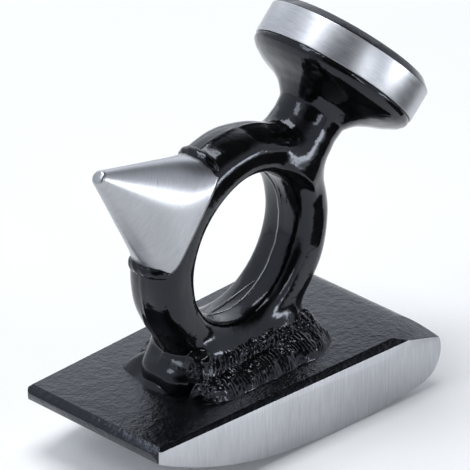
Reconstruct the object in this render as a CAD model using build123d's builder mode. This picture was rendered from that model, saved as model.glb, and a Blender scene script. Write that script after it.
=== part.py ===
from build123d import *
import math
import os

# Hand dolly (a small hand-held anvil) for beating out sheet metal.
# A forged ring is the grip. It carries a round hammer head and a cone, and is
# welded down on a thick curved plate. Millimetres, +Z up. +X runs along the
# plate, towards the side of the hammer head, and Y runs across the plate.
# The origin is under the middle of the whole tool, level with its lowest line.

# --- curved base plate ---
plate_depth = 24.0            # from the flat top down to the lowest line
plate_half_width = 33.0       # half the width, beside the ring's middle
plate_taper = 2.08            # degrees that each side face opens towards the nose
plate_toe_reach = 61.5        # ring's middle to the edge of the flat top at the toe
plate_low_reach = 20.4        # ring's middle to the lowest line
plate_nose_reach = 56.0       # ring's middle to where the nose starts to round up
middle_radius = 260.0         # curved face, beside its lowest line
toe_radius = 158.0            # curved face, towards the toe
nose_radius = 99.0            # curved face, towards the nose
toe_middle_angle = 5.5        # degrees of the middle arc on the toe side
nose_middle_angle = 4.9       # degrees of the middle arc on the nose side
toe_bevel_out = 2.8           # bevel on the toe's upper edge, outwards
toe_bevel_down = 2.0          # and downwards
toe_undercut = 1.3            # how far the toe's end leans in, below its bevel
side_bevel = 1.8              # bevel on the long upper edges, beside the ring
side_bevel_growth = 0.5       # degrees by which that bevel grows towards the nose
corner_reach = 43.5           # ring's middle to the start of the nose's corner facet
corner_depth = 5.8            # depth of the facet at the side face
corner_inset = 25.0           # where the facet ends on the nose, from the middle plane
corner_nose_angle = 54.0      # degrees around the nose's end to the facet's inner end
corner_side_share = 0.78      # share of the nose's end radius that the facet covers outside

# --- forged ring ---
ring_height = 40.7            # ring's middle above the plate's top
ring_radius = 32.3            # to the middle of the ring's section
section_radial = 8.1          # half the section, along the ring's radius
section_axial = 10.6          # half the section, along Y
seam_height = 0.5             # raised line left by the forging dies
seam_half_width = 1.0

# --- hammer head ---
head_angle = 44.0             # degrees above +X
head_offset = 2.5             # how far the head's axis passes under the ring's middle
head_start = 64.4             # along the axis, from beside the ring's middle to the head
head_height = 13.7            # with its bevel
head_radius = 29.5
head_chamfer = 2.7

# --- neck, turned about the head's axis ---
neck_root_at = 34.0           # along the axis, with the radius there
neck_root_radius = 12.6
neck_narrow_at = 46.0
neck_narrow_radius = 11.5
neck_shoulder_at = 52.0
neck_shoulder_radius = 13.0
flare_middle_at = 56.5
flare_middle_radius = 18.7
flare_rim_at = 60.6
flare_rim_radius = 27.2
lip_radius = 29.1             # black lip directly behind the head
lip_height = 1.8

# --- cone ---
cone_angle = 142.8            # degrees above +X, seen from the ring's middle
cone_start = 31.5             # ring's middle to the cone's base
cone_length = 43.2
cone_half_width = 10.9        # half of the base, in Y
cone_half_height = 21.6       # half of the base, along the ring
cone_crown = 3.2              # how much the base's upper and lower ends are rounded
cone_tip_radius = 2.3
cone_squareness = 6.0         # superellipse power of the base outline; 2 is an ellipse
cone_bulge = 0.03             # how much the sides swell out at half length

# --- foot of the forging ---
foot_toe_reach = 33.0         # ring's middle to the foot's end, towards the toe
foot_nose_reach = 29.0        # the same towards the nose
foot_half_width = 11.0
foot_toe_height = 11.0
foot_nose_height = 6.0
foot_edge_radius = 4.0
foot_corner_radius = 8.8      # seen from above

# --- weld beads ---
lower_bead_reach = 12.5       # how far the lower side beads stand out of the foot
lower_bead_height = 6.5
upper_bead_reach = 6.0
upper_bead_height = 5.5       # above the lower bead
bead_toe_reach = 31.0         # side beads, from the ring's middle towards the toe
bead_nose_reach = 27.0        # and towards the nose
end_bead_reach = 3.5          # how far the end beads stand out of the foot
end_bead_height = 4.5
end_bead_lean = 35.0          # degrees that the end beads' faces lean in
cone_bead_radius = 2.6        # beads in the corner between the cone and the ring
cone_bead_half_length = 9.0
cone_bead_end_radius = 2.3
cone_bead_share = 0.07        # share of the cone's length where the beads sit

os.makedirs("parts", exist_ok=True)

# --- places worked out from the sizes above ---
head_end = head_start + head_height
head_slope = math.radians(head_angle)
head_reach = (head_end - head_chamfer) * math.cos(head_slope)
head_reach += (head_radius + head_offset) * math.sin(head_slope)
toe_end = plate_toe_reach + toe_bevel_out
ring_x = (toe_end - head_reach) / 2
ring_middle = Vector(ring_x, 0, plate_depth + ring_height)
head_root = ring_middle + Vector(math.sin(head_slope), 0, -math.cos(head_slope)) * head_offset
head_axis = Axis(head_root, (math.cos(head_slope), 0, math.sin(head_slope)))
plate_top = Plane.XY.offset(plate_depth)
side_plane = Plane(origin=(ring_x, 0, plate_depth), x_dir=(1, 0, 0), z_dir=(0, -1, 0))


def plane_along(start, angle, distance):
    """A plane square to a direction in XZ, at a distance from a starting point."""
    slope = math.radians(angle)
    outward = Vector(math.cos(slope), 0, math.sin(slope))
    return Plane(origin=start + outward * distance, x_dir=(0, 1, 0), z_dir=outward)


def plane_through(first, second, third):
    """A plane through three points, whose normal points up."""
    first, second, third = Vector(first), Vector(second), Vector(third)
    along = second - first
    normal = along.cross(third - first)
    if normal.Z < 0:
        normal = normal * -1
    return Plane(origin=first, x_dir=along, z_dir=normal)


def side_face_y(distance):
    """Half width of the plate at a distance along X from the ring's middle."""
    return plate_half_width + distance * math.tan(math.radians(plate_taper))


def bevel_size(distance):
    """Size of the long bevel at a distance along X from the ring's middle."""
    return side_bevel + distance * math.tan(math.radians(side_bevel_growth))


def save(piece, name):
    """Label a finished piece and write its STEP file."""
    piece.label = name
    export_step(piece, f"parts/{name}.step")


# Base plate: a flat top, a long curved working face, a thin toe and a round nose.
toe_arc_start = middle_radius * math.sin(math.radians(toe_middle_angle))
toe_arc_length = toe_end - toe_undercut + plate_low_reach - toe_arc_start
toe_slope = math.asin(math.sin(math.radians(toe_middle_angle)) + toe_arc_length / toe_radius)
toe_arc_angle = math.degrees(toe_slope) - toe_middle_angle
nose_arc_start = middle_radius * math.sin(math.radians(nose_middle_angle))
nose_arc_length = plate_nose_reach - plate_low_reach - nose_arc_start
nose_slope = math.asin(math.sin(math.radians(nose_middle_angle)) + nose_arc_length / nose_radius)
nose_arc_angle = math.degrees(nose_slope) - nose_middle_angle

with BuildPart() as base_plate:
    with BuildSketch(side_plane):
        with BuildLine():
            lowest = (plate_low_reach, -plate_depth)
            toe_middle = JernArc(lowest, (-1, 0), middle_radius, -toe_middle_angle)
            toe_face = JernArc(toe_middle @ 1, toe_middle % 1, toe_radius, -toe_arc_angle)
            nose_middle = JernArc(lowest, (1, 0), middle_radius, nose_middle_angle)
            nose_face = JernArc(nose_middle @ 1, nose_middle % 1, nose_radius, nose_arc_angle)
            # The nose turns back until it runs level, and ends in the flat top.
            nose_end_radius = -(nose_face @ 1).Y / (1 + math.cos(nose_slope))
            nose_turn = 180 - math.degrees(nose_slope)
            nose = JernArc(nose_face @ 1, nose_face % 1, nose_end_radius, nose_turn)
            Polyline(
                nose @ 1,
                (-plate_toe_reach, 0),
                (-toe_end, -toe_bevel_down),
                toe_face @ 1,
            )
        make_face()
    extrude(amount=2 * plate_half_width, both=True)

    for side in (-1, 1):
        # Side faces open slightly towards the nose.
        face_plane = Plane(
            origin=(ring_x, side * plate_half_width, 0),
            x_dir=(0, 0, 1),
            z_dir=(-math.sin(math.radians(plate_taper)), side * math.cos(math.radians(plate_taper)), 0),
        )
        split(bisect_by=face_plane, keep=Keep.BOTTOM)
        # A long bevel on the upper edge, wider towards the nose.
        bevel_points = []
        for distance, inset, drop in ((-50, 1, 0), (50, 1, 0), (0, 0, 1)):
            size = bevel_size(distance)
            across = side_face_y(distance) - inset * size
            bevel_points.append((ring_x + distance, side * across, plate_depth - drop * size))
        split(bisect_by=plane_through(*bevel_points), keep=Keep.BOTTOM)
        # A facet on the nose's corner.
        nose_top = nose.arc_center.X + nose_end_radius * math.cos(math.radians(corner_nose_angle))
        nose_drop = nose_end_radius * (1 - math.sin(math.radians(corner_nose_angle)))
        corner_start = side_face_y(corner_reach) - bevel_size(corner_reach)
        corner_end = nose.arc_center.X + nose_end_radius * corner_side_share
        corner_points = (
            (ring_x + corner_reach, side * corner_start, plate_depth),
            (ring_x + nose_top, side * corner_inset, plate_depth - nose_drop),
            (ring_x + corner_end, side * side_face_y(corner_end), plate_depth - corner_depth),
        )
        split(bisect_by=plane_through(*corner_points), keep=Keep.BOTTOM)
save(base_plate.part, "base_plate")

# The forging's foot, a block that stands on the plate under the ring.
with BuildPart() as foot:
    with BuildSketch(side_plane):
        with BuildLine():
            Polyline(
                (-foot_toe_reach, -foot_edge_radius),
                (-foot_toe_reach, foot_toe_height),
                (foot_nose_reach, foot_nose_height),
                (foot_nose_reach, -foot_edge_radius),
                close=True,
            )
        make_face()
    extrude(amount=foot_half_width, both=True)
    fillet(foot.edges().filter_by(Axis.Z), foot_corner_radius)
    fillet(foot.faces().sort_by(Axis.Z)[-1].edges(), foot_edge_radius)

# Ring, neck and foot: one forging.
with BuildPart() as ring_handle:
    # The ring, with the seam that the forging dies leave outside and inside.
    with BuildSketch(Plane(origin=ring_middle, x_dir=(1, 0, 0), z_dir=(0, 0, 1))):
        with Locations((ring_radius, 0)):
            Ellipse(section_radial, section_axial)
            Rectangle(2 * (section_radial + seam_height), 2 * seam_half_width)
    revolve(axis=Axis(ring_middle, (0, 1, 0)))
    # The neck flares out to a lip behind the head.
    with BuildSketch(Plane(origin=head_root, x_dir=head_axis.direction, z_dir=(0, -1, 0))):
        with BuildLine():
            flare = Spline(
                (neck_root_at, neck_root_radius),
                (neck_narrow_at, neck_narrow_radius),
                (neck_shoulder_at, neck_shoulder_radius),
                (flare_middle_at, flare_middle_radius),
                (flare_rim_at, flare_rim_radius),
            )
            Polyline(
                flare @ 1,
                (head_start - lip_height, lip_radius),
                (head_start, lip_radius),
                (head_start, 0),
                (neck_root_at, 0),
                flare @ 0,
            )
        make_face()
    revolve(axis=head_axis)
    add(foot.part)
    split(bisect_by=plate_top, keep=Keep.TOP)
save(ring_handle.part, "ring_handle")

# Hammer head: a turned disc that sits on the neck's lip.
with BuildPart() as head_disc:
    with BuildSketch(plane_along(head_root, head_angle, head_start)):
        Circle(head_radius)
    extrude(amount=head_height)
    chamfer(head_disc.edges().sort_by(head_axis)[-1], head_chamfer)
save(head_disc.part, "head_disc")


def cone_section(share, count=32):
    """Points around the cone at a share of its length: a rounded oblong that turns into a circle."""
    swell = 1 + cone_bulge * 4 * share * (1 - share)
    half_height = (cone_half_height + (cone_tip_radius - cone_half_height) * share) * swell
    half_width = (cone_half_width + (cone_tip_radius - cone_half_width) * share) * swell
    power = cone_squareness + (2 - cone_squareness) * share
    points = []
    for step in range(count):
        angle = 2 * math.pi * step / count
        across = math.copysign(abs(math.cos(angle)) ** (2 / power), math.cos(angle))
        along = math.copysign(abs(math.sin(angle)) ** (2 / power), math.sin(angle))
        crowned_height = half_height - cone_crown * (1 - share) * across**2
        points.append((half_width * across, crowned_height * along))
    return points


# Cone: an oblong base that fits the ring, and a round tip.
with BuildPart() as cone_horn:
    for share in (0, 0.33, 0.67, 1):
        with BuildSketch(plane_along(ring_middle, cone_angle, cone_start + share * cone_length)):
            with BuildLine():
                Spline(cone_section(share), periodic=True)
            make_face()
    loft()
    add(ring_handle.part, mode=Mode.SUBTRACT)
save(cone_horn.part, "cone_horn")

# Beads in the two corners between the cone and the ring.
cone_corners = {"cone_weld_upper": -1, "cone_weld_lower": 1}
cone_beads = []
for bead_name, bead_side in cone_corners.items():
    base = plane_along(ring_middle, cone_angle, cone_start + cone_bead_share * cone_length)
    bead_height = cone_half_height + (cone_tip_radius - cone_half_height) * cone_bead_share
    corner = base.origin + base.y_dir * bead_side * bead_height
    with BuildPart() as cone_bead:
        with BuildSketch(Plane(origin=corner, x_dir=(1, 0, 0), z_dir=(0, -1, 0))):
            Circle(cone_bead_radius)
        extrude(amount=cone_bead_half_length, both=True)
        fillet(cone_bead.edges(), cone_bead_end_radius)
        add(ring_handle.part, mode=Mode.SUBTRACT)
        add(cone_horn.part, mode=Mode.SUBTRACT)
    cone_beads.append(cone_bead.part)
    save(cone_bead.part, bead_name)

# Lower and upper weld beads along both sides of the foot.
bead_length = bead_toe_reach + bead_nose_reach
bead_middle = ring_x + (bead_nose_reach - bead_toe_reach) / 2
for side, side_name in ((-1, "front"), (1, "back")):
    lower_place = Plane(
        origin=(bead_middle, side * foot_half_width, plate_depth), x_dir=(0, 1, 0), z_dir=(1, 0, 0)
    )
    upper_place = Plane(
        origin=(bead_middle, side * foot_half_width, plate_depth + lower_bead_height),
        x_dir=(0, 1, 0),
        z_dir=(1, 0, 0),
    )
    with BuildPart() as lower_bead:
        with BuildSketch(lower_place):
            Ellipse(lower_bead_reach, lower_bead_height)
        extrude(amount=bead_length / 2, both=True)
        split(bisect_by=plate_top, keep=Keep.TOP)
        add(ring_handle.part, mode=Mode.SUBTRACT)
    with BuildPart() as upper_bead:
        with BuildSketch(upper_place):
            Ellipse(upper_bead_reach, upper_bead_height)
        extrude(amount=bead_length / 2, both=True)
        split(bisect_by=plate_top, keep=Keep.TOP)
        add(ring_handle.part, mode=Mode.SUBTRACT)
        add(lower_bead.part, mode=Mode.SUBTRACT)
    save(lower_bead.part, f"foot_weld_{side_name}_lower")
    save(upper_bead.part, f"foot_weld_{side_name}_upper")

# Beads around the foot's two rounded ends.
for end_name, end_side, foot_reach in (
    ("toe_end", -1, foot_toe_reach),
    ("nose_end", 1, foot_nose_reach),
):
    with BuildPart() as end_bead:
        with BuildSketch(plate_top):
            with Locations((ring_x + end_side * (foot_reach - foot_half_width), 0)):
                Circle(foot_half_width + end_bead_reach)
        extrude(amount=end_bead_height, taper=end_bead_lean)
        bead_end = bead_toe_reach if end_side < 0 else bead_nose_reach
        end_plane = Plane(
            origin=(ring_x + end_side * bead_end, 0, 0), x_dir=(0, 1, 0), z_dir=(end_side, 0, 0)
        )
        split(bisect_by=end_plane, keep=Keep.TOP)
        add(ring_handle.part, mode=Mode.SUBTRACT)
    save(end_bead.part, f"foot_weld_{end_name}")
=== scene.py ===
import bpy
import bmesh
import math
import numpy as np
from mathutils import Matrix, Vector, noise


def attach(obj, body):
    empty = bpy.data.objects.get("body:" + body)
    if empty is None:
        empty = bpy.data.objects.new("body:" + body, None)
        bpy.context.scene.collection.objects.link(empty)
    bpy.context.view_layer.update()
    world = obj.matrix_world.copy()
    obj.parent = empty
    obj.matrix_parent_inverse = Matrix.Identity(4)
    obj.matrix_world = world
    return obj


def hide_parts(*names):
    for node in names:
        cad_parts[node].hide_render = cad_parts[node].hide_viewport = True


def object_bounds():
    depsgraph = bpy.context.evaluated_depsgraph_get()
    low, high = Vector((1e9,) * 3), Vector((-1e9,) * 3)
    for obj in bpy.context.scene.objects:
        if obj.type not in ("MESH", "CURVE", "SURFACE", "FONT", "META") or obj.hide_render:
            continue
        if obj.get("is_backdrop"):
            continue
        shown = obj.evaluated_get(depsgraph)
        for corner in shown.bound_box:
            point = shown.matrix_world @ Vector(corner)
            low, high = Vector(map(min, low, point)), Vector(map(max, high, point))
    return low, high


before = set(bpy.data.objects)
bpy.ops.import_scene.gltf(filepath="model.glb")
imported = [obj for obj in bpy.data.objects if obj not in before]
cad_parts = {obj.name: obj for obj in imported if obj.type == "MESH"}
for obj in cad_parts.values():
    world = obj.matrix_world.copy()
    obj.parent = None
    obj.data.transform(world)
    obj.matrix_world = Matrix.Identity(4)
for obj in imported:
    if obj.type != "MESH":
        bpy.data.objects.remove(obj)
cad_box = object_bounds()

MM = 0.001

# ---------------------------------------------------------------- sizes, mm
PLATE_TOP = 24.0
RING_X = -6.0833
RING_Z = PLATE_TOP + 40.7
RING_OUTER = 40.4
RING_INNER = 24.3             # mean radius of the hole
RING_OVAL = 1.3               # how much longer and shorter the hole is than its mean
RING_OVAL_TURN = math.radians(62)
RING_HALF_WIDTH = 10.5
RING_HALF_DEPTH = 8.2
HEAD_ANGLE = math.radians(44.0)
HEAD_OFFSET = 2.5
HEAD_START = 64.4
HEAD_END = 78.1
HEAD_RADIUS = 29.5
HEAD_CHAMFER = 2.7
LIP_RADIUS = 29.1
CONE_ANGLE = math.radians(142.8)
CONE_START = 31.5
CONE_LENGTH = 43.2
CONE_HALF_HEIGHT = 21.6       # at its base, along the ring
CONE_HALF_WIDTH = 10.9        # at its base, across the ring
CONE_TIP_RADIUS = 2.3
CONE_CROWN = 3.2
CONE_BULGE = 0.03
PLATE_HALF_WIDTH = 33.0       # beside the ring's middle
PLATE_TAPER = math.radians(2.08)
BEVEL = 1.8                   # of the plate's long upper edge, beside the ring's middle
BEVEL_GROWTH = math.radians(0.5)
TOE_REACH = 61.5              # from the ring's middle to the end of the flat top
TOE_END = 64.3
TOE_BEVEL_DOWN = 2.0
TOE_UNDERCUT = 1.3
LOW_REACH = 20.4              # to the plate's lowest line
NOSE_REACH = 56.0             # to where the round nose starts
MIDDLE_RADIUS = 260.0         # of the curved face: beside its lowest line, to the toe, to the nose
TOE_RADIUS = 158.0
NOSE_RADIUS = 99.0
TOE_MIDDLE_ANGLE = math.radians(5.5)
NOSE_MIDDLE_ANGLE = math.radians(4.9)
CORNER_REACH = 43.5           # to where the facet on the nose's corner starts
CORNER_NOSE_ANGLE = math.radians(54)
CORNER_SIDE_SHARE = 0.78
CORNER_DROP = 5.8

X0 = np.array([RING_X, 0.0, RING_Z])
HEAD_DIR = np.array([math.cos(HEAD_ANGLE), 0.0, math.sin(HEAD_ANGLE)])
HEAD_SIDE = np.array([-math.sin(HEAD_ANGLE), 0.0, math.cos(HEAD_ANGLE)])
HEAD_ROOT = X0 - HEAD_SIDE * HEAD_OFFSET
CONE_DIR = np.array([math.cos(CONE_ANGLE), 0.0, math.sin(CONE_ANGLE)])
CONE_SIDE = np.array([-math.sin(CONE_ANGLE), 0.0, math.cos(CONE_ANGLE)])
ACROSS = np.array([0.0, 1.0, 0.0])


# ---------------------------------------------------------------- helpers
def new_object(name, verts_mm, faces):
    """A smooth-shaded mesh object from points in millimetres."""
    mesh = bpy.data.meshes.new(name)
    mesh.from_pydata([tuple(v) for v in np.asarray(verts_mm) * MM], [], [list(f) for f in faces])
    mesh.validate()
    mesh.update()
    obj = bpy.data.objects.new(name, mesh)
    bpy.context.scene.collection.objects.link(obj)
    mesh.polygons.foreach_set("use_smooth", [True] * len(mesh.polygons))
    return obj


def smooth_min(a, b, k):
    h = np.clip(0.5 + 0.5 * (b - a) / k, 0, 1)
    return b + (a - b) * h - k * h * (1 - h)


def smooth_max(a, b, k):
    return -smooth_min(-a, -b, k)


def smooth_step(lo, hi, value):
    t = np.clip((value - lo) / (hi - lo), 0, 1)
    return t * t * (3 - 2 * t)


def wave_noise(points, scale, seed, octaves=3):
    """Smooth repeatable noise in about -1..1: a few octaves of crossed sine waves."""
    made = np.random.default_rng(seed)
    total = np.zeros(len(points))
    weight = 0.0
    for octave in range(octaves):
        for _ in range(5):
            direction = made.normal(size=3)
            direction /= np.linalg.norm(direction)
            freq = 2 * math.pi / scale * 1.9**octave * made.uniform(0.75, 1.3)
            total += 0.6**octave * np.sin(points @ direction * freq + made.uniform(0, 2 * math.pi))
        weight += 0.6**octave
    return total / (weight * 2.2)


def surface_nets(field, low, high, step):
    """A closed quad mesh of field(points) = 0 inside a box, pulled on to the surface."""
    axes = [np.arange(l, h + step, step) for l, h in zip(low, high)]
    shape = tuple(len(a) for a in axes)
    grid = np.stack(np.meshgrid(*axes, indexing="ij"), -1).reshape(-1, 3)
    value = np.concatenate([field(part) for part in np.array_split(grid, 12)]).reshape(shape)
    inside = value < 0
    corner = [(i, j, k) for i in (0, 1) for j in (0, 1) for k in (0, 1)]
    cells = tuple(n - 1 for n in shape)

    def shifted(array, c):
        return array[c[0]:c[0] + cells[0], c[1]:c[1] + cells[1], c[2]:c[2] + cells[2]]

    count = sum(shifted(inside, c).astype(np.int8) for c in corner)
    mixed = (count > 0) & (count < 8)
    position = np.zeros(cells + (3,))
    crossings = np.zeros(cells)
    for a in range(8):
        for b in range(a + 1, 8):
            ca, cb = corner[a], corner[b]
            if sum(abs(x - y) for x, y in zip(ca, cb)) != 1:
                continue
            va, vb = shifted(value, ca), shifted(value, cb)
            crossing = ((va < 0) != (vb < 0)) & mixed
            t = np.where(crossing, va / np.where(va == vb, 1, va - vb), 0)
            for d in range(3):
                position[..., d] += np.where(crossing, ca[d] + (cb[d] - ca[d]) * t, 0)
            crossings += crossing
    index = -np.ones(cells, dtype=np.int64)
    index[mixed] = np.arange(mixed.sum())
    where = np.argwhere(mixed)
    verts = where + position[mixed] / crossings[mixed][:, None]
    verts = verts * step + np.array([a[0] for a in axes])
    faces = []
    for d in range(3):
        u, v = [(1, 2), (2, 0), (0, 1)][d]
        ahead = [slice(None)] * 3
        behind = [slice(None)] * 3
        ahead[d] = slice(1, None)
        behind[d] = slice(None, -1)
        change = inside[tuple(behind)].astype(np.int8) - inside[tuple(ahead)].astype(np.int8)
        spots = np.argwhere(change != 0)
        keep = (spots[:, u] > 0) & (spots[:, v] > 0)
        keep &= (spots[:, u] < shape[u] - 1) & (spots[:, v] < shape[v] - 1)
        spots = spots[keep]
        signs = change[tuple(spots.T)]
        ring = []
        for du, dv in ((-1, -1), (0, -1), (0, 0), (-1, 0)):
            spot = spots.copy()
            spot[:, u] += du
            spot[:, v] += dv
            ring.append(index[tuple(spot.T)])
        quads = np.stack(ring, 1)
        quads[signs < 0] = quads[signs < 0][:, ::-1]
        faces.append(quads)
    faces = np.concatenate(faces)
    e = 0.05
    for _ in range(3):
        base = field(verts)
        slopes = [field(verts + np.eye(3)[d] * e) - field(verts - np.eye(3)[d] * e) for d in range(3)]
        grad = np.stack(slopes, 1) / (2 * e)
        length2 = np.maximum((grad**2).sum(1), 0.04)
        move = -(base / length2)[:, None] * grad
        size = np.linalg.norm(move, axis=1, keepdims=True)
        verts = verts + move * np.minimum(1, 0.45 * step / np.maximum(size, 1e-9))
    return verts, faces


def quads_between(one, two):
    """Quads that join two closed rings of point numbers."""
    count = len(one)
    return [(one[k], one[(k + 1) % count], two[(k + 1) % count], two[k]) for k in range(count)]


def lathe(name, profile, origin, axis, side, segments=256):
    """Revolves (along, radius) points about an axis; a radius of 0 closes the end."""
    third = np.cross(axis, side)
    verts, rings = [], []
    for along, radius in profile:
        if radius <= 0:
            rings.append([len(verts)])
            verts.append(origin + axis * along)
            continue
        rings.append(list(range(len(verts), len(verts) + segments)))
        for k in range(segments):
            a = 2 * math.pi * k / segments
            verts.append(origin + axis * along + (side * math.cos(a) + third * math.sin(a)) * radius)
    faces = []
    for one, two in zip(rings, rings[1:]):
        if len(one) == 1:
            faces += [(one[0], two[(k + 1) % segments], two[k]) for k in range(segments)]
        elif len(two) == 1:
            faces += [(one[k], one[(k + 1) % segments], two[0]) for k in range(segments)]
        else:
            faces += quads_between(one, two)
    return new_object(name, verts, faces)


def recalc(obj):
    """Turns every face outwards."""
    bm = bmesh.new()
    bm.from_mesh(obj.data)
    bmesh.ops.recalc_face_normals(bm, faces=bm.faces)
    bm.to_mesh(obj.data)
    bm.free()


def rounded(points, radius, steps=3):
    """Rounds the inner corners of an open profile."""
    points = [np.array(p, float) for p in points]
    out = [points[0]]
    for before, here, after in zip(points, points[1:], points[2:]):
        to_b, to_a = before - here, after - here
        lb, la = np.linalg.norm(to_b), np.linalg.norm(to_a)
        cut = min(radius, lb * 0.45, la * 0.45)
        b, a = here + to_b / lb * cut, here + to_a / la * cut
        for s in range(steps + 1):
            t = s / steps
            out.append((1 - t)**2 * b + 2 * t * (1 - t) * here + t**2 * a)
    out.append(points[-1])
    return [tuple(p) for p in out]


# ---------------------------------------------------------------- forging
# The neck's radius at places along the head's axis: it narrows, then flares to the lip.
NECK_AT = np.array([30, 36, 42, 46, 50.5, 52.5, 54.5, 56.5, 58.5, 60.5, 62.4, HEAD_START])
NECK_RADIUS = np.array([12.8, 12.2, 11.9, 11.5, 11.9, 13.4, 15.3, 18.8, 23.6, 27.1, 28.9, LIP_RADIUS])
NECK_BLEND = 4.5              # mm of blend between the ring and the neck
FOOT_BLEND = 9.0              # and between them and the foot
GRID_STEP = 0.75


def neck_radius(t):
    """The neck's smoothed radius at t along the axis, and its slope."""
    fine = np.linspace(NECK_AT[0], NECK_AT[-1], 400)
    radius = np.interp(fine, NECK_AT, NECK_RADIUS)
    kernel = np.hanning(15)
    radius = np.convolve(np.pad(radius, 7, mode="edge"), kernel / kernel.sum(), "valid")
    return np.interp(t, fine, radius), np.interp(t, fine, np.gradient(radius, fine))


def hole_radius(phi):
    """The slightly oval hole's radius at an angle round the ring."""
    return RING_INNER + RING_OVAL * np.cos(2 * (phi - RING_OVAL_TURN))


def ring_field(p):
    """The ring: boxier inside than outside, with the seam that forging dies leave."""
    rel = p - X0
    rho = np.hypot(rel[:, 0], rel[:, 2])
    phi = np.arctan2(rel[:, 2], rel[:, 0])
    inner = hole_radius(phi)
    middle = (RING_OUTER + inner) / 2
    half = (RING_OUTER - inner) / 2
    u = (rho - middle) / half
    y = rel[:, 1] / RING_HALF_WIDTH
    power = np.where(u < 0, 3.4, 2.15)
    body = (np.abs(u)**power + np.abs(y)**power)**(1 / power) - 1
    seam = np.where(u < 0, 0.16, 0.3) * np.exp(-(rel[:, 1] / 0.7)**2)
    return body * RING_HALF_DEPTH - seam


def neck_field(p):
    """The neck and the flare behind the head."""
    rel = p - HEAD_ROOT
    t = rel @ HEAD_DIR
    r = np.sqrt(np.maximum((rel**2).sum(1) - t * t, 0))
    radius, slope = neck_radius(np.clip(t, NECK_AT[0], HEAD_START))
    side = (r - radius) / np.sqrt(1 + slope**2)
    ends = np.maximum(t - HEAD_START, NECK_AT[0] - t)
    return smooth_max(side, ends, 0.5)


def foot_field(p):
    """The foot: a round-cornered block whose top falls towards the nose and rounds off at the toe."""
    half_length, half_width, corner = 32.5, 12.4, 9.5
    x = p[:, 0] - RING_X
    y = p[:, 1]
    z = p[:, 2] - PLATE_TOP
    dx = np.maximum(np.abs(x + 3.0) - (half_length - corner), 0)
    dy = np.maximum(np.abs(y + 1.0) - (half_width - corner), 0)
    side = np.hypot(dx, dy) - corner
    top = z - (9.5 - x * 5.0 / 62 - 2.2 * np.exp(-(x / 22)**2) - 3.2 * smooth_step(-20, -32, x))
    return smooth_max(smooth_max(side, top, 6.5), -z - 3, 0.5)


def forging_field(p):
    """Ring, neck and foot blended, with a faint hammered relief away from the turned lip."""
    body = smooth_min(ring_field(p), neck_field(p), NECK_BLEND)
    body = smooth_min(body, foot_field(p), FOOT_BLEND)
    relief = wave_noise(p, 16.0, 3, 2) * 0.12
    body = body - relief * smooth_step(60.5, 57.5, (p - HEAD_ROOT) @ HEAD_DIR)
    return np.maximum(body, PLATE_TOP - p[:, 2])


verts, faces = surface_nets(
    forging_field,
    (RING_X - 43, -31, PLATE_TOP - 1.2),
    (RING_X + 70, 31, RING_Z + 66),
    GRID_STEP,
)
forging = new_object("ring_handle_forging", verts, faces)
recalc(forging)


def swing_at(value):
    return noise.noise(Vector((value, 3.7, 1.1)))


def flash_line(name, start, end, wander, size):
    """A thin raised line of trimmed flash along the inside of the ring, from start to end degrees."""
    verts, rings = [], []
    steps, sides = 260, 8
    for i in range(steps + 1):
        phi = math.radians(start + (end - start) * i / steps)
        outward = np.array([math.cos(phi), 0, math.sin(phi)])
        taper = math.sin(math.pi * i / steps)**0.3
        y = wander(math.degrees(phi)) + swing_at(i * 0.07) * 0.25
        middle = X0 + outward * (hole_radius(phi) - 0.22) + ACROSS * y
        reach = size * (0.25 + 0.75 * taper)
        rings.append(list(range(len(verts), len(verts) + sides)))
        for k in range(sides):
            a = 2 * math.pi * k / sides
            verts.append(middle + outward * math.cos(a) * reach + ACROSS * math.sin(a) * reach)
    faces = []
    for one, two in zip(rings, rings[1:]):
        faces += quads_between(one, two)
    faces.append(tuple(rings[0]))
    faces.append(tuple(rings[-1][::-1]))
    obj = new_object(name, verts, faces)
    recalc(obj)
    return obj


flash_inside = flash_line(
    "flash_line_inside", -118, 62, lambda d: 0.6 + 0.9 * math.sin(math.radians(d * 1.3)), 0.24
)
flash_edge = flash_line("flash_line_edge", -112, -58, lambda d: 3.4 - 2.6 * ((d + 85) / 27)**2, 0.2)

# ---------------------------------------------------------------- hammer head
head_profile = rounded([
    (HEAD_START, 0), (HEAD_START, HEAD_RADIUS - 0.1), (HEAD_END - HEAD_CHAMFER, HEAD_RADIUS),
    (HEAD_END, HEAD_RADIUS - HEAD_CHAMFER - 0.2), (HEAD_END, 0),
], 0.35)
head_face = [(HEAD_END, r) for r in (22.0, 16.0, 10.0, 5.0, 2.0)]
head_profile = head_profile[:-1] + head_face + [(HEAD_END, 0)]
head = lathe("hammer_head_disc", head_profile, HEAD_ROOT, HEAD_DIR, HEAD_SIDE)
recalc(head)


# ---------------------------------------------------------------- cone
def cone_point(share, angle):
    """A point round the cone at a share of its length: an oblong that turns into a circle."""
    swell = 1 + CONE_BULGE * 4 * share * (1 - share)
    half_height = (CONE_HALF_HEIGHT + (CONE_TIP_RADIUS - CONE_HALF_HEIGHT) * share) * swell
    half_width = (CONE_HALF_WIDTH + (CONE_TIP_RADIUS - CONE_HALF_WIDTH) * share) * swell
    power = 2 + 4 * (1 - share)**9
    c, s = math.cos(angle), math.sin(angle)
    across = math.copysign(abs(c)**(2 / power), c)
    along = math.copysign(abs(s)**(2 / power), s)
    crowned = half_height - CONE_CROWN * (1 - share) * across**2
    return half_width * across, crowned * along


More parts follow.
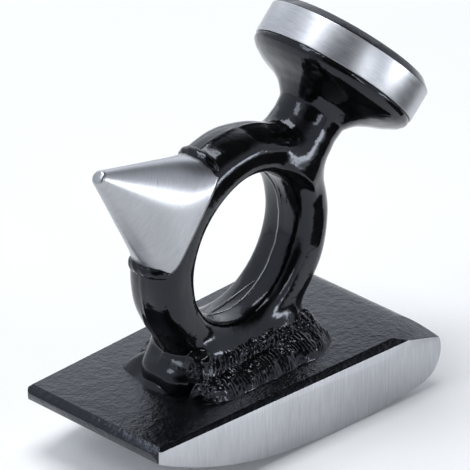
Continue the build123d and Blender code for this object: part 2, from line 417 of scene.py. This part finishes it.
def make_cone():
    count = 200
    tip_from = 0.985              # share of the length where the tip starts to round over
    shares = list(np.linspace(0.0, tip_from, 60)) + [0.9925, 0.997, 1.0]
    verts, rings = [], []
    for share in shares:
        pull = 1 - 0.22 * (max(share - tip_from, 0) / 0.015)**2
        place = X0 + CONE_DIR * (CONE_START + CONE_LENGTH * share)
        rings.append(list(range(len(verts), len(verts) + count)))
        for k in range(count):
            y, s = cone_point(share, 2 * math.pi * (k + 0.5) / count)
            verts.append(place + CONE_SIDE * s * pull + ACROSS * y * pull)
    faces = []
    for one, two in zip(rings, rings[1:]):
        faces += quads_between(one, two)
    for ring in (rings[0], rings[-1]):
        centre = len(verts)
        verts.append(sum(verts[i] for i in ring) / count)
        for k in range(count):
            faces.append((centre, ring[k], ring[(k + 1) % count]))
    return new_object("cone_horn_ground", verts, faces)


cone = make_cone()
recalc(cone)

# ---------------------------------------------------------------- base plate
def side_y(distance):
    """From the middle to the side face, at a distance past the ring's middle."""
    return PLATE_HALF_WIDTH + distance * math.tan(PLATE_TAPER)


def bevel_at(distance):
    return BEVEL + distance * math.tan(BEVEL_GROWTH)


def arc(start, heading, radius, turn, steps):
    """Points along an arc, its last heading and its centre: turn is in radians, positive to the left."""
    turn_side = 1 if turn > 0 else -1
    normal = np.array([-math.sin(heading), math.cos(heading)]) * turn_side
    centre = np.array(start) + normal * radius
    points = []
    for k in range(1, steps + 1):
        a = turn * k / steps
        v = np.array(start) - centre
        points.append(centre + np.array([
            v[0] * math.cos(a) - v[1] * math.sin(a), v[0] * math.sin(a) + v[1] * math.cos(a)
        ]))
    return points, heading + turn, centre


def plate_outline():
    """The plate's side view as a loop of points, with its nose's centre and radius."""
    lowest = (LOW_REACH, -PLATE_TOP)
    toe_rise, nose_rise = math.sin(TOE_MIDDLE_ANGLE), math.sin(NOSE_MIDDLE_ANGLE)
    toe_length = TOE_END - TOE_UNDERCUT + LOW_REACH - MIDDLE_RADIUS * toe_rise
    nose_length = NOSE_REACH - LOW_REACH - MIDDLE_RADIUS * nose_rise
    toe_slope = math.asin(toe_rise + toe_length / TOE_RADIUS)
    nose_slope = math.asin(nose_rise + nose_length / NOSE_RADIUS)
    nose, heading, _ = arc(lowest, 0.0, MIDDLE_RADIUS, NOSE_MIDDLE_ANGLE, 8)
    more, heading, _ = arc(nose[-1], heading, NOSE_RADIUS, nose_slope - NOSE_MIDDLE_ANGLE, 14)
    nose += more
    end_radius = -nose[-1][1] / (1 + math.cos(nose_slope))
    more, _, nose_centre = arc(nose[-1], heading, end_radius, math.pi - nose_slope, 40)
    nose += more
    toe, heading, _ = arc(lowest, math.pi, MIDDLE_RADIUS, -TOE_MIDDLE_ANGLE, 8)
    more, _, _ = arc(toe[-1], heading, TOE_RADIUS, TOE_MIDDLE_ANGLE - toe_slope, 24)
    toe += more
    toe_top = [np.array([-TOE_REACH, 0.0]), np.array([-TOE_END, -TOE_BEVEL_DOWN])]
    return [np.array(lowest)] + nose + toe_top + toe[::-1], nose_centre, end_radius


def make_plate():
    """The plate: its outline pushed out sideways, then cut by the same planes as the CAD."""
    loop, nose_centre, end_radius = plate_outline()
    bm = bmesh.new()
    half = 40.0
    near = [bm.verts.new((p[0] + RING_X, -half, p[1] + PLATE_TOP)) for p in loop]
    far = [bm.verts.new((p[0] + RING_X, half, p[1] + PLATE_TOP)) for p in loop]
    bm.faces.new(near)
    bm.faces.new(far[::-1])
    n = len(loop)
    for k in range(n):
        bm.faces.new((near[k], far[k], far[(k + 1) % n], near[(k + 1) % n]))
    bmesh.ops.recalc_face_normals(bm, faces=bm.faces)

    def cut(point, normal):
        geom = bm.verts[:] + bm.edges[:] + bm.faces[:]
        done = bmesh.ops.bisect_plane(bm, geom=geom, plane_co=point, plane_no=normal, clear_outer=True)
        edges = [e for e in done["geom_cut"] if isinstance(e, bmesh.types.BMEdge)]
        bmesh.ops.holes_fill(bm, edges=edges, sides=0)

    def plane_from(points):
        a, b, c = [Vector(p) for p in points]
        normal = (b - a).cross(c - a).normalized()
        return a, (normal if normal.z > 0 else -normal)

    for side in (-1, 1):
        cut(
            Vector((RING_X, side * PLATE_HALF_WIDTH, 0)),
            Vector((-math.sin(PLATE_TAPER), side * math.cos(PLATE_TAPER), 0)),
        )
        points = []
        for distance, inset, drop in ((-50, 1, 0), (50, 1, 0), (0, 0, 1)):
            size = bevel_at(distance)
            points.append((
                RING_X + distance, side * (side_y(distance) - inset * size), PLATE_TOP - drop * size
            ))
        cut(*plane_from(points))
        # A facet on the nose's corner, through a point on the top, the nose and the side.
        corner_start = side_y(CORNER_REACH) - bevel_at(CORNER_REACH)
        on_nose = RING_X + nose_centre[0] + end_radius * math.cos(CORNER_NOSE_ANGLE)
        nose_drop = end_radius * (1 - math.sin(CORNER_NOSE_ANGLE))
        corner_end = nose_centre[0] + end_radius * CORNER_SIDE_SHARE
        cut(*plane_from((
            (RING_X + CORNER_REACH, side * corner_start, PLATE_TOP),
            (on_nose, side * 25.0, PLATE_TOP - nose_drop),
            (RING_X + corner_end, side * side_y(corner_end), PLATE_TOP - CORNER_DROP),
        )))
        # The toe's corner is rounded off a little.
        for lean, inset in ((25, 0.9), (50, 1.1), (72, 0.7)):
            a = math.radians(lean)
            corner = Vector((RING_X - TOE_END, side * side_y(-TOE_END), 0))
            normal = Vector((-math.cos(a), side * math.sin(a), 0))
            cut(corner - normal * inset, normal)
    bmesh.ops.remove_doubles(bm, verts=bm.verts, dist=0.01)
    bmesh.ops.recalc_face_normals(bm, faces=bm.faces)
    sharp = [e for e in bm.edges if len(e.link_faces) == 2 and e.calc_face_angle(0) > math.radians(14)]
    bmesh.ops.bevel(
        bm, geom=sharp, offset=0.35, offset_type="OFFSET", segments=2, profile=0.5,
        affect="EDGES", clamp_overlap=True,
    )
    bmesh.ops.recalc_face_normals(bm, faces=bm.faces)
    mesh = bpy.data.meshes.new("plate_body")
    for v in bm.verts:
        v.co *= MM
    bm.to_mesh(mesh)
    bm.free()
    obj = bpy.data.objects.new("plate_body", mesh)
    bpy.context.scene.collection.objects.link(obj)
    mesh.polygons.foreach_set("use_smooth", [True] * len(mesh.polygons))
    mesh.set_sharp_from_angle(angle=math.radians(32))
    return obj


plate = make_plate()


# ---------------------------------------------------------------- weld beads
def bead_patch(name, path, low_edge, high_edge, bulge, pitch, depth, curve, seed, across=40):
    """A weld bead's surface from low_edge(u) to high_edge(u), with a bulge, crescents and lumps."""
    verts = []
    made = np.random.default_rng(seed)
    shift = made.uniform(0, 10)
    arc_length = 0.0
    rows = []
    # Lumps as (place along, height, size, lift), thickest where the bead starts.
    blobs = [
        (made.uniform(2, 14), made.uniform(0.2, 0.9), made.uniform(0.8, 1.5), made.uniform(0.8, 1.8))
        for _ in range(16)
    ]
    blobs += [
        (made.uniform(14, 60), made.uniform(0.1, 0.9), made.uniform(0.6, 1.2), made.uniform(0.5, 1.1))
        for _ in range(14)
    ]
    for i, u in enumerate(path):
        low, high, out = low_edge(u), high_edge(u), bulge(u)
        if i:
            arc_length += np.linalg.norm(low - last)
        last = low
        row = []
        for j in range(across + 1):
            v = j / across
            crown = max(math.sin(math.pi * v), 0)**0.75
            warp = noise.noise(Vector((arc_length * 0.16, v * 1.6, shift)))
            phase = (arc_length - curve * crown * (1 + 0.4 * warp)) / pitch + 1.5 * warp
            part = phase - math.floor(phase)
            ripple = part**1.4 * (1 - smooth_step(0.78, 1.0, part)) * 1.5 - 0.4
            swell = noise.noise(Vector((arc_length * 0.2, v * 1.8, shift + 9)))
            rough = noise.noise(Vector((arc_length * 1.1, v * 9.0, shift + 20)))
            for spot, height_at, size, lump in blobs:
                far = ((arc_length - spot)**2 + ((v - height_at) * 11)**2) / size**2
                swell += lump * math.exp(-far)
            fading = noise.noise(Vector((arc_length * 0.2, v * 1.5, shift + 5)))
            strength = 0.1 + 1.1 * smooth_step(-0.25, 0.4, fading)
            place = low * (1 - v) + high * v
            lift = crown * (np.linalg.norm(out) + depth * (ripple * strength + 0.55 * rough) + 0.55 * swell)
            direction = out / np.linalg.norm(out)
            row.append(len(verts))
            verts.append(place + direction * lift)
        rows.append(row)
    return verts, rows


def close_bead(name, verts, rows, core):
    """Joins a bead's rows into a closed piece, whose inner side follows core points."""
    faces = []
    across = len(rows[0])
    inner = []
    for i in range(len(rows)):
        inner.append(len(verts))
        verts.append(core[i])
    for one, two, a, b in zip(rows, rows[1:], inner, inner[1:]):
        for j in range(across - 1):
            faces.append((one[j], one[j + 1], two[j + 1], two[j]))
        faces.append((one[across - 1], a, b, two[across - 1]))
        faces.append((a, one[0], two[0], b))
    for row, a in ((rows[0], inner[0]), (rows[-1], inner[-1])):
        for j in range(across - 1):
            faces.append((a, row[j], row[j + 1]))
    obj = new_object(name, verts, faces)
    recalc(obj)
    return obj


def side_bead(name, side, x_from, x_to, low, high, out, pitch, depth, curve, seed, ends, steps=300):
    """A bead along one side of the foot. low, high and out give (away from the middle, up) for a place x."""

    def at(x, pair):
        away, up = pair(x)
        return np.array([RING_X + x, side * away, PLATE_TOP + up])

    path = np.linspace(x_from, x_to, steps)

    def end_taper(x):
        reach = min((x - x_from) / ends[0], (x_to - x) / ends[1], 1.0)
        return max(math.sqrt(max(1 - (1 - max(reach, 0))**2, 0.0)), 0.05)

    def low_edge(x):
        k = end_taper(x)
        return at(x, low) * k + at(x, core_pair) * (1 - k)

    def high_edge(x):
        k = end_taper(x)
        return at(x, high) * k + at(x, core_pair) * (1 - k)

    def core_pair(x):
        return (high(x)[0] - 1.5, low(x)[1])

    def bulge(x):
        away, up = out(x)
        k = end_taper(x)
        return np.array([0, side * away * k, up * k])

    verts, rows = bead_patch(name, path, low_edge, high_edge, bulge, pitch, depth, curve, seed)
    core = [at(x, core_pair) for x in path]
    return close_bead(name, verts, rows, core)


def swing(x, size, scale, seed):
    return noise.noise(Vector((x * scale, seed, 0.0))) * size


def bead_top(x, seed):
    """How high the upper pass climbs up the forging's side."""
    return 11.3 - 0.075 * x + 2.2 * math.exp(-((x + 24) / 6)**2) + swing(x, 2.6, 0.09, seed)


welds = []
for side, word, wide, begin in ((-1, "front", 24.2, -33.5), (1, "back", 20.4, -24.0)):
    seed = 5 + side
    lower = side_bead(
        f"foot_bead_{word}_lower", side, begin, 32.0,
        lambda x: (wide - 4.5 * smooth_step(16, 32, x) - (wide - 19.5) * 1.2 * smooth_step(-22, -34, x)
                   + swing(x, 1.5, 0.16, seed), -0.3),
        lambda x: (wide - 8.6 - 3.0 * smooth_step(18, 32, x), 6.6 - 5.5 * smooth_step(26, 33, x)),
        lambda x: (0.6, 0.8),
        1.3, 0.40, 1.6, seed, (4.0, 6.0),
    )
    upper = side_bead(
        f"foot_bead_{word}_upper", side, begin + 2.5, 30.0,
        lambda x: (wide - 6.8 - 2.5 * smooth_step(18, 31, x), 4.6 - 3.5 * smooth_step(25, 31, x)),
        lambda x: (9.7, bead_top(x, seed) - 5.5 * smooth_step(25, 31, x)),
        lambda x: (0.6, 0.7),
        1.9, 0.62, 3.0, seed + 11, (3.0, 5.0),
    )
    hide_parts(f"foot_weld_{word}_lower")
    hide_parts(f"foot_weld_{word}_upper")
    welds += [lower, upper]


def end_bead(name, sign, seed):
    """A bead round one end of the foot, from side to side."""
    steps = 120
    sweep = math.radians(200)
    verts, rows, core = [], [], []
    centre = np.array([RING_X + (20.0 if sign > 0 else -22.5), 0, PLATE_TOP])
    for i in range(steps + 1):
        a = sweep * (i / steps - 0.5)
        direction = np.array([sign * math.cos(a), math.sin(a), 0])
        # At the toe the bead widens into a wedge that runs into the back side's bead.
        wedge = math.exp(-((a - 1.12) / 0.36)**2) if sign < 0 else 0.0
        reach = (12.0 if sign > 0 else 14.4) + 0.5 * math.sin(a * 3 + seed) + 6.5 * wedge
        row = []
        for j in range(19):
            v = j / 18
            crown = math.sin(math.pi * v)**0.8
            phase = sweep * 14 * i / steps - 1.2 * crown
            ripple = 0.8 * noise.noise(Vector((phase * 0.16, v * 1.2, seed)))
            radius = reach - (reach - 10.0) * v + crown * (0.5 + 0.3 * ripple)
            up = -0.3 + (3.4 + 4.2 * wedge) * v + crown * (0.5 + 0.3 * ripple)
            row.append(len(verts))
            verts.append(centre + direction * radius + np.array([0, 0, up]))
        rows.append(row)
        core.append(centre + direction * 8.0)
    return close_bead(name, verts, rows, core)


for sign, word in ((-1, "toe_end"), (1, "nose_end")):
    bead = end_bead(f"foot_bead_{word}", sign, 2 + sign)
    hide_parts(f"foot_weld_{word}")
    welds.append(bead)


def cone_bead(name, sign):
    """A bead across the ring, in the corner between it and the cone. It dips with the ring's section."""
    half_length, radius = 9.0, 2.3
    outward = CONE_DIR * 0.35 + CONE_SIDE * sign
    outward = outward / np.linalg.norm(outward)
    along = np.cross(outward, ACROSS)
    verts, rows, core = [], [], []
    for i in range(61):
        y = half_length * (i / 30 - 1)
        k = max(math.sqrt(max(1 - (y / 9.05)**4, 0.0)), 0.05)
        drop = 8.1 - 8.1 * math.sqrt(1 - (y / 10.6)**2)
        middle = X0 + CONE_DIR * (34.6 - drop * 0.85) + CONE_SIDE * sign * (20.3 - drop * 0.5) + ACROSS * y
        row = []
        for j in range(15):
            a = math.radians(-110 + 220 * j / 14)
            size = (radius + 0.12 * math.sin(y * 1.7 + j)) * k
            row.append(len(verts))
            verts.append(middle + outward * math.cos(a) * size + along * math.sin(a) * size)
        rows.append(row)
        core.append(middle - outward * 1.5 * k)
    return close_bead(name, verts, rows, core)


for word, sign in (("upper", -1), ("lower", 1)):
    bead = cone_bead(f"cone_bead_{word}", sign)
    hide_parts(f"cone_weld_{word}")
    welds.append(bead)


# ---------------------------------------------------------------- materials
def material(name):
    made = bpy.data.materials.new(name)
    made.use_nodes = True
    nodes = made.node_tree.nodes
    return made, nodes, made.node_tree.links, nodes["Principled BSDF"]


def coords(nodes, links, scale, rotation=(0, 0, 0), kind="POINT"):
    source = nodes.new("ShaderNodeTexCoord")
    mapping = nodes.new("ShaderNodeMapping")
    mapping.vector_type = kind
    mapping.inputs["Scale"].default_value = scale
    mapping.inputs["Rotation"].default_value = rotation
    links.new(source.outputs["Object"], mapping.inputs["Vector"])
    return mapping.outputs["Vector"]


def noise_node(nodes, links, vector, scale, detail=3.0, rough=0.5):
    node = nodes.new("ShaderNodeTexNoise")
    node.inputs["Scale"].default_value = scale
    node.inputs["Detail"].default_value = detail
    node.inputs["Roughness"].default_value = rough
    links.new(vector, node.inputs["Vector"])
    return node.outputs["Fac"]


def bump(nodes, links, height, strength, distance, normal=None):
    node = nodes.new("ShaderNodeBump")
    node.inputs["Strength"].default_value = strength
    node.inputs["Distance"].default_value = distance
    links.new(height, node.inputs["Height"])
    if normal is not None:
        links.new(normal, node.inputs["Normal"])
    return node.outputs["Normal"]


def ramp(nodes, links, fac, stops):
    """A colour ramp with two stops, each (place, colour)."""
    node = nodes.new("ShaderNodeValToRGB")
    for element, (place, colour) in zip(node.color_ramp.elements, stops):
        element.position = place
        element.color = colour
    links.new(fac, node.inputs["Fac"])
    return node.outputs["Color"]


def grey(v, blue=1.0):
    """A grey that is a little cool, or neutral with a blue of 0."""
    return (v, v * (1 + 0.02 * blue), v * (1 + 0.07 * blue), 1)


def paint_material(name, peel, wrinkle, roughness, tint=(0.94, 0.99, 1.12)):
    """Gloss paint with orange peel of a strength, and wrinkles where they are asked for."""
    made, nodes, links, shader = material(name)
    vector = coords(nodes, links, (1, 1, 1))
    tone = noise_node(nodes, links, vector, 160, 4)
    tones = ((0.3, grey(0.0012)), (0.7, grey(0.0030)))
    links.new(ramp(nodes, links, tone, tones), shader.inputs["Base Color"])
    rough = noise_node(nodes, links, vector, 90, 3)
    spread = ((0.3, grey(roughness * 0.75, 0)), (0.7, grey(roughness * 1.35, 0)))
    links.new(ramp(nodes, links, rough, spread), shader.inputs["Roughness"])
    shader.inputs["IOR"].default_value = 1.46
    # The specular tint turns the paint's reflections a little blue: a cool light colour painted into the
    # paint's reflections.
    shader.inputs["Specular Tint"].default_value = (*tint, 1)
    big = noise_node(nodes, links, vector, 210, 2)
    small = noise_node(nodes, links, vector, 800, 2)
    normal = bump(nodes, links, big, peel, 0.0006)
    normal = bump(nodes, links, small, peel * 0.8, 0.00016, normal)
    if wrinkle:
        lines = noise_node(nodes, links, vector, 480, 4, 0.62)
        normal = bump(nodes, links, lines, wrinkle, 0.0004, normal)
    links.new(normal, shader.inputs["Normal"])
    return made


def steel_material(name, low, high, stretch, turn, roughness, brush=0.12):
    """Bright steel. Its grain is stretched along the axes that turn (an angle about Y) gives."""
    made, nodes, links, shader = material(name)
    vector = coords(nodes, links, stretch, (0, turn, 0), "TEXTURE")
    grain = noise_node(nodes, links, vector, 2600, 4, 0.65)
    patch_vector = coords(nodes, links, (1, 1, 1))
    patch = noise_node(nodes, links, patch_vector, 60, 3)
    mix = nodes.new("ShaderNodeMix")
    mix.data_type = "RGBA"
    mix.blend_type = "MULTIPLY"
    mix.inputs[0].default_value = 1.0
    links.new(ramp(nodes, links, grain, ((0.25, grey(low)), (0.75, grey(high)))), mix.inputs[6])
    links.new(ramp(nodes, links, patch, ((0.3, grey(0.93, 0)), (0.7, grey(1.0, 0)))), mix.inputs[7])
    links.new(mix.outputs[2], shader.inputs["Base Color"])
    shader.inputs["Metallic"].default_value = 1.0
    spread = ((0.2, grey(roughness * 0.8, 0)), (0.8, grey(roughness * 1.25, 0)))
    links.new(ramp(nodes, links, grain, spread), shader.inputs["Roughness"])
    links.new(bump(nodes, links, grain, brush, 0.00012), shader.inputs["Normal"])
    return made


black = paint_material("gloss black paint", 0.26, 0.0, 0.11)
weld_black = paint_material("gloss black paint over welds", 0.40, 0.0, 0.12)
# The plate's paint has a bluer specular tint: a painted blue cast on its reflections, standing in for cool
# light.
plate_black = paint_material("black paint on the plate", 0.34, 0.9, 0.17, (0.92, 0.99, 1.2))
turned = steel_material("turned steel", 0.50, 0.66, (1, 18, 18), -HEAD_ANGLE, 0.36)
ground = steel_material("ground steel", 0.39, 0.49, (1, 10, 10), -CONE_ANGLE, 0.31)
brushed = steel_material("brushed steel", 0.42, 0.60, (1, 1, 25), 0.0, 0.36, 0.25)
# The raised flash lines are real; their bright steel colour is a painted highlight that makes them show as
# light lines inside the black ring.
flash_highlight_steel = steel_material("flash line steel painted as a highlight", 0.25, 0.5, (1, 1, 1), 0.0, 0.3)

forging.data.materials.append(black)
# The flash lines carry the bright steel as a painted highlight.
flash_inside.data.materials.append(flash_highlight_steel)
flash_edge.data.materials.append(flash_highlight_steel)
for bead in welds:
    bead.data.materials.append(weld_black)
head.data.materials.append(turned)
head.data.materials.append(black)

# The chamfer round the head's face is painted.
for polygon in head.data.polygons:
    along = float(np.array(polygon.normal) @ HEAD_DIR)
    out_at = float((np.array(polygon.center) / MM - HEAD_ROOT) @ HEAD_DIR)
    polygon.material_index = 1 if 0.35 < along < 0.95 and out_at > HEAD_END - HEAD_CHAMFER - 0.2 else 0
cone.data.materials.append(ground)
plate.data.materials.append(brushed)
plate.data.materials.append(plate_black)

# The plate's top, its bevels, the nose's corner facets and the toe's end are painted; the rest is bright.
for polygon in plate.data.polygons:
    n = polygon.normal
    c = polygon.center / MM
    at_toe = n.x < -0.5 and c.x < RING_X - 60
    polygon.material_index = 1 if n.z > 0.35 or at_toe else 0

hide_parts("ring_handle")
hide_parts("head_disc")
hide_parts("cone_horn")
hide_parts("base_plate")
for piece in [forging, flash_inside, flash_edge, head, cone, plate] + welds:
    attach(piece, "root")

# ---------------------------------------------------------------- floor, light, camera
# The view: towards the camera, to its right and up.
BACK = Vector((-0.6275, -0.6217, 0.4688)).normalized()
RIGHT = Vector((0.7038, -0.7104, 0.0)).normalized()
UP = BACK.cross(RIGHT)
target = Vector(X0 * MM) + RIGHT * 0.001678 + UP * 0.001875

CAMERA_DISTANCE = 1.9706
CAMERA_LENS = 462.4

FLOOR_HALF = 3.0
FLOOR_DROP = 0.0002
square = ((-1, -1), (1, -1), (1, 1), (-1, 1))
floor_corners = [(x * FLOOR_HALF, y * FLOOR_HALF, -FLOOR_DROP) for x, y in square]
floor_mesh = bpy.data.meshes.new("floor")
floor_mesh.from_pydata(floor_corners, [], [(0, 1, 2, 3)])
floor = bpy.data.objects.new("floor", floor_mesh)
bpy.context.scene.collection.objects.link(floor)
floor_mat, nodes, links, shader = material("pale floor")
vector = coords(nodes, links, (1, 1, 1))
tone = noise_node(nodes, links, vector, 8, 2)
pale = ((0.3, grey(0.93, 0)), (0.7, grey(0.95, 0)))
links.new(ramp(nodes, links, tone, pale), shader.inputs["Base Color"])
shader.inputs["Roughness"].default_value = 0.8
floor_mesh.materials.append(floor_mat)
floor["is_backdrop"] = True

world = bpy.data.worlds.new("studio")
world.use_nodes = True
bpy.context.scene.world = world
world.node_tree.nodes["Background"].inputs["Color"].default_value = (0.94, 0.99, 1.08, 1)
nodes, links = world.node_tree.nodes, world.node_tree.links
sky = nodes.new("ShaderNodeTexCoord")


def dark_patch(direction, inner, outer, low, high):
    """A factor that falls from high, beyond outer degrees from a direction, to low within inner degrees."""
    facing = nodes.new("ShaderNodeVectorMath")
    facing.operation = "DOT_PRODUCT"
    facing.inputs[1].default_value = direction
    links.new(sky.outputs["Generated"], facing.inputs[0])
    fade = nodes.new("ShaderNodeMapRange")
    fade.interpolation_type = "SMOOTHSTEP"
    fade.inputs["From Min"].default_value = math.cos(math.radians(outer))
    fade.inputs["From Max"].default_value = math.cos(math.radians(inner))
    fade.inputs["To Min"].default_value = high
    fade.inputs["To Max"].default_value = low
    links.new(facing.outputs["Value"], fade.inputs["Value"])
    return fade.outputs["Result"]


# A studio's dark ceiling, and the dark behind the camera, which the gloss paint mirrors.
above = dark_patch((0.262, -0.220, 0.940), 24, 50, 0.03, 0.72)
ahead = dark_patch((-0.640, -0.640, 0.425), 16, 44, 0.05, 1.0)
both = nodes.new("ShaderNodeMath")
both.operation = "MULTIPLY"
links.new(above, both.inputs[0])
links.new(ahead, both.inputs[1])
links.new(both.outputs["Value"], nodes["Background"].inputs["Strength"])


def softbox(name, azimuth, elevation, distance, size, radiance, tint=(0.93, 0.96, 1.0)):
    """A rectangular soft light of an even brightness, aimed at the middle of the object."""
    data = bpy.data.lights.new(name, "AREA")
    data.shape = "RECTANGLE"
    data.size, data.size_y = size
    data.energy = radiance * math.pi * size[0] * size[1]
    data.color = tint
    lamp = bpy.data.objects.new(name, data)
    a, e = math.radians(azimuth), math.radians(elevation)
    middle = Vector((0, 0, 0.065))
    toward_lamp = Vector((math.cos(a) * math.cos(e), math.sin(a) * math.cos(e), math.sin(e)))
    lamp.location = middle + toward_lamp * distance
    lamp.rotation_euler = (middle - lamp.location).to_track_quat("-Z", "Y").to_euler()
    bpy.context.scene.collection.objects.link(lamp)


softbox("overhead", 100, 82, 1.1, (0.6, 0.6), 7.0, (0.98, 0.99, 1.0))
softbox("back_card", 45, 24, 1.6, (2.6, 1.1), 0.6)
softbox("left_card", 164, 52, 1.1, (0.22, 0.4), 4.5)
softbox("front_card", -101, 20, 1.1, (0.2, 0.4), 4.5)
softbox("low_strip", -59, 0, 0.9, (0.4, 0.13), 10.0)

# A dark card on the right, seen only in reflections, as a studio flag is.
card_mesh = bpy.data.meshes.new("dark_card")
card_points = ((0.10, -0.06), (0.065, -0.18), (0.20, -0.42), (0.50, -0.10))
card_mesh.from_pydata([(x, y, 0.0005) for x, y in card_points], [], [(0, 1, 2, 3)])
card = bpy.data.objects.new("dark_card", card_mesh)
bpy.context.scene.collection.objects.link(card)
card_mat, nodes, links, shader = material("dark card")
shader.inputs["Base Color"].default_value = (0.01, 0.01, 0.011, 1)
shader.inputs["Roughness"].default_value = 1.0
card_mesh.materials.append(card_mat)
card.visible_camera = False
card.visible_diffuse = False
card.visible_shadow = False
card.visible_transmission = False
card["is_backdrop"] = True

camera_data = bpy.data.cameras.new("camera")
camera_data.sensor_width = 36
camera_data.sensor_height = 36
camera_data.sensor_fit = "HORIZONTAL"
camera_data.lens = CAMERA_LENS
camera_data.clip_end = 20
camera = bpy.data.objects.new("camera", camera_data)
camera.location = target + BACK * CAMERA_DISTANCE
camera.rotation_euler = BACK.to_track_quat("Z", "Y").to_euler()
bpy.context.scene.collection.objects.link(camera)
bpy.context.scene.camera = camera
bpy.context.scene.view_settings.view_transform = "Standard"

visual_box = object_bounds()


def plain(value):
    """A box as plain lists of numbers."""
    if hasattr(value, "__len__"):
        return [plain(v) for v in value]
    return float(value)


{"cad": plain(cad_box), "visual": plain(visual_box)}
